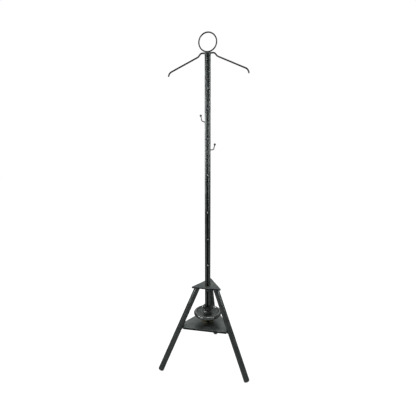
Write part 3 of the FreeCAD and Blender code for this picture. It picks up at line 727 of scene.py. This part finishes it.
def make_nuts():
    """Three hexagon nuts chamfered on both faces."""
    builder = bmesh.new()
    high = SHELF_UNDERSIDE - WASHER
    for azimuth in BOLT_AZIMUTHS:
        hexagon(builder, polar(BOLT_CIRCLE, azimuth), BOLT_FLATS, high - NUT_HEIGHT, high, 0.45 * MM)
    finished("flange_nuts", builder, SCREW_STEEL, "base", ["pedestal_nuts"])


make_pedestal()
make_bolts()
make_washers()
make_nuts()


# ---- Brake wheel ----

def make_wheel():
    """Turned wheel: bored hub, flared neck with a groove at its foot, gently domed web and round rim."""
    outline = [(18, 288, 0.4), (24, 288, 1.5), (30, 304, 3), (64, 304, 0.8),
               (65.5, 301.5, 3), (81.5, 301.5, 10.4),
               (81.5, 322.5, 10.4), (66, 322.5, 3), (64, 319.4, 0.8), (63, 318.6, 0.3), (62, 319.2, 0.3),
               (33, 322.9, 0.4), (32.2, 322.0, 0.3), (31.2, 322.2, 0.3), (30.4, 323.8, 0.5), (22, 326, 5),
               (22, 335.6, 0.2), (21.5, 336.0, 0.1), (22, 336.4, 0.2), (22, 339, 0.7), (18, 339, 0.4)]
    lift = HUB_TOP - 339 * MM
    builder = bmesh.new()
    turned(builder, [(radius * MM, z * MM + lift, rounding * MM) for radius, z, rounding in outline], 144)
    finished("brake_wheel_turned", builder, WHEEL_IRON, "brake_wheel", ["brake_wheel"])


make_wheel()


# ---- Mast ----

def make_grub_screws():
    """Cup-point grub screws with a hexagon socket sunk in each."""
    builder = bmesh.new()
    inner = MAST_BUNDLE_RADIUS
    outer = SHOE_RADIUS - 0.8 * MM
    for azimuth in MAST_TUBE_AZIMUTHS.values():
        outwards = polar(1, azimuth)
        place = (Matrix.Translation(outwards * inner + Vector((0, 0, GRUB_HEIGHT)))
                 @ outwards.to_track_quat("Z", "Y").to_matrix().to_4x4())
        length = outer - inner
        shank = bmesh.ops.create_cone(builder, cap_ends=True, segments=30, radius1=0.8 * GRUB_RADIUS,
                                      radius2=GRUB_RADIUS - 0.05 * MM, depth=length,
                                      matrix=place @ Matrix.Translation((0, 0, length / 2)))
        builder.faces.ensure_lookup_table()
        end = max((face for face in {face for vert in shank["verts"] for face in vert.link_faces}),
                  key=lambda face: face.calc_center_median().dot(outwards))
        bmesh.ops.inset_region(builder, faces=[end], thickness=0.9 * MM, depth=0.0)
        made = bmesh.ops.extrude_face_region(builder, geom=[end])["geom"]
        floor = [part for part in made if isinstance(part, bmesh.types.BMFace)][0]
        bmesh.ops.translate(builder, vec=-outwards * 1.6 * MM, verts=floor.verts)
    finished("shoe_screws", builder, SCREW_STEEL, "mast", ["shoe_grub_screws"])


def make_tack_welds():
    """Short brushed beads across the three grooves of the mast."""
    builder = bmesh.new()
    for index, height in enumerate(TACK_HEIGHTS):
        for azimuth in MAST_TUBE_AZIMUTHS.values():
            groove = azimuth + 180.0
            spread = 1.0 + 0.16 * noise.noise(Vector((index * 3.7, azimuth, 0.5)))
            size = (3.9 * MM, 4.9 * MM * spread, 3.0 * MM * spread)
            weld_blob(builder, polar(TACK_DEPTH, groove, height), size, groove)
    finished("mast_tacks", builder, BRIGHT_WELD, "mast", ["mast_tack_welds"], 60)


make_grub_screws()
make_tack_welds()


# ---- Hanger top ----

def make_hanger_rod():
    """One rod bent to two shoulders, its turned-down tips drawn to blunt points."""
    tip_allowance = 5 * MM
    right = [Vector((x * MM, 0, z * MM)) for x, z in list(ROD_CORNERS) + [ROD_TIP]]
    right[-1] += (right[-2] - right[-1]).normalized() * tip_allowance
    left = [Vector((-point.x, 0, point.z)) for point in reversed(right)]
    bends = [bend * MM for bend in tuple(reversed(ROD_BENDS)) + ROD_BENDS]
    builder = bmesh.new()
    bent_rod(builder, left + right, bends, ROD_RADIUS)
    builder.normal_update()
    caps = [face for face in builder.faces if len(face.verts) > 4]
    for cap in caps:
        bmesh.ops.recalc_face_normals(builder, faces=builder.faces)
        round_end(builder, cap, ROD_POINT)
    finished("hanger_rod_bent", builder, ROD_STEEL, "mast", ["hanger_rod"], 50)


def make_top_welds():
    """Beads that hold the ring and the rod on the cap, and the hooks on their tubes."""
    top = bmesh.new()
    seat = ROD_SHOULDER + ROD_RADIUS
    for side in (-1, 1):
        weld_blob(top, Vector((0, side * 2.6 * MM, seat + 0.3 * MM)), (5.5 * MM, 1.7 * MM, 1.9 * MM))
        weld_blob(top, Vector((0, side * 4.4 * MM, CAP_TOP + 0.3 * MM)), (7.5 * MM, 1.6 * MM, 1.5 * MM))
    finished("ring_and_rod_welds", top, BLACK_WELD, "mast", sharp_angle=60)
    for hook, side, outward, rise in (("upper", "left", -1, 0.4 * MM), ("lower", "right", 1, 0.0)):
        low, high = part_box(hook + "_hook")
        tube = polar(MAST_TUBE_CENTRE, MAST_TUBE_AZIMUTHS[side])
        face = tube.x + outward * MAST_TUBE_RADIUS
        root = Vector((face, (low[1] + high[1]) / 2, low[2] + 2.9 * MM))
        builder = bmesh.new()
        centre = root + Vector((-outward * 0.3 * MM, 0, rise))
        weld_blob(builder, centre, (1.5 * MM, 3.7 * MM, 3.8 * MM))
        finished(hook + "_hook_weld", builder, BLACK_WELD, "mast", sharp_angle=60)


make_hanger_rod()
make_top_welds()


# ---- Floor, light and camera ----

def make_floor():
    """Plain pale floor, wide enough to fill every view."""
    builder = bmesh.new()
    bmesh.ops.create_grid(builder, x_segments=8, y_segments=8, size=14.0)
    mesh = bpy.data.meshes.new("studio_floor")
    builder.to_mesh(mesh)
    builder.free()
    mesh.materials.append(floor_paint("studio_floor_paint"))
    floor = bpy.data.objects.new("studio_floor", mesh)
    bpy.context.scene.collection.objects.link(floor)


def soft_light(name, place, aim, size, power):
    """Add a rectangular soft light that looks at a point."""
    lamp = bpy.data.lights.new(name, "AREA")
    lamp.shape = "RECTANGLE"
    lamp.size, lamp.size_y = size
    lamp.energy = power
    light = bpy.data.objects.new(name, lamp)
    light.location = place
    light.rotation_euler = (Vector(aim) - Vector(place)).to_track_quat("-Z", "Y").to_euler()
    bpy.context.scene.collection.objects.link(light)


def make_surroundings():
    """Even white backdrop; reflections see a dim studio with a bright screen behind the stand."""
    world = bpy.data.worlds.new("studio")
    world.use_nodes = True
    # The metal then mirrors only the dim studio, not the white backdrop.
    world.cycles.sampling_method = "NONE"
    bpy.context.scene.world = world
    nodes, links = world.node_tree.nodes, world.node_tree.links
    nodes.clear()
    direction = nodes.new("ShaderNodeTexCoord").outputs["Generated"]
    toward_screen = nodes.new("ShaderNodeVectorMath")
    toward_screen.operation = "DOT_PRODUCT"
    toward_screen.inputs[1].default_value = Vector((-0.17, 0.87, 0.46)).normalized()
    links.new(direction, toward_screen.inputs[0])
    glow = nodes.new("ShaderNodeMapRange")
    for socket, value in (("From Min", 0.78), ("From Max", 0.97), ("To Min", 0.17), ("To Max", 1.15)):
        glow.inputs[socket].default_value = value
    links.new(toward_screen.outputs["Value"], glow.inputs["Value"])
    sky = nodes.new("ShaderNodeBackground")
    sky.inputs["Color"].default_value = (1, 1, 1, 1)
    sky.inputs["Strength"].default_value = 1.01
    studio = nodes.new("ShaderNodeBackground")
    studio.inputs["Color"].default_value = (1, 1, 1, 1)
    links.new(glow.outputs[0], studio.inputs["Strength"])
    choose = nodes.new("ShaderNodeMixShader")
    links.new(nodes.new("ShaderNodeLightPath").outputs["Is Glossy Ray"], choose.inputs[0])
    links.new(sky.outputs[0], choose.inputs[1])
    links.new(studio.outputs[0], choose.inputs[2])
    links.new(choose.outputs[0], nodes.new("ShaderNodeOutputWorld").inputs[0])


def make_camera():
    """Camera at chest height in front and a little to the right."""
    turn = math.radians(11.2)
    tilt = math.radians(80.325)
    distance, height = 1.683, 1.229
    lens = bpy.data.cameras.new("camera")
    lens.lens = 26.34
    lens.sensor_width = 36
    lens.shift_x = 0.0008
    camera = bpy.data.objects.new("camera", lens)
    camera.location = (distance * math.sin(turn), -distance * math.cos(turn), height)
    camera.rotation_euler = (tilt, 0, turn)
    bpy.context.scene.collection.objects.link(camera)
    bpy.context.scene.camera = camera


make_floor()
make_surroundings()
make_camera()
soft_light("front_softbox", (-1.25, -1.4, 1.25), (0, 0, 1.15), (0.25, 1.05), 11)
soft_light("left_softbox", (-1.85, -0.25, 1.65), (0, 0, 1.0), (0.5, 1.2), 34)
soft_light("right_softbox", (1.85, -0.6, 1.65), (0, 0, 1.0), (0.22, 1.2), 22)
soft_light("overhead", (0.2, 0.1, 3.2), (0, 0, 0.4), (1.6, 1.2), 30)
bpy.context.scene.view_settings.view_transform = "Standard"
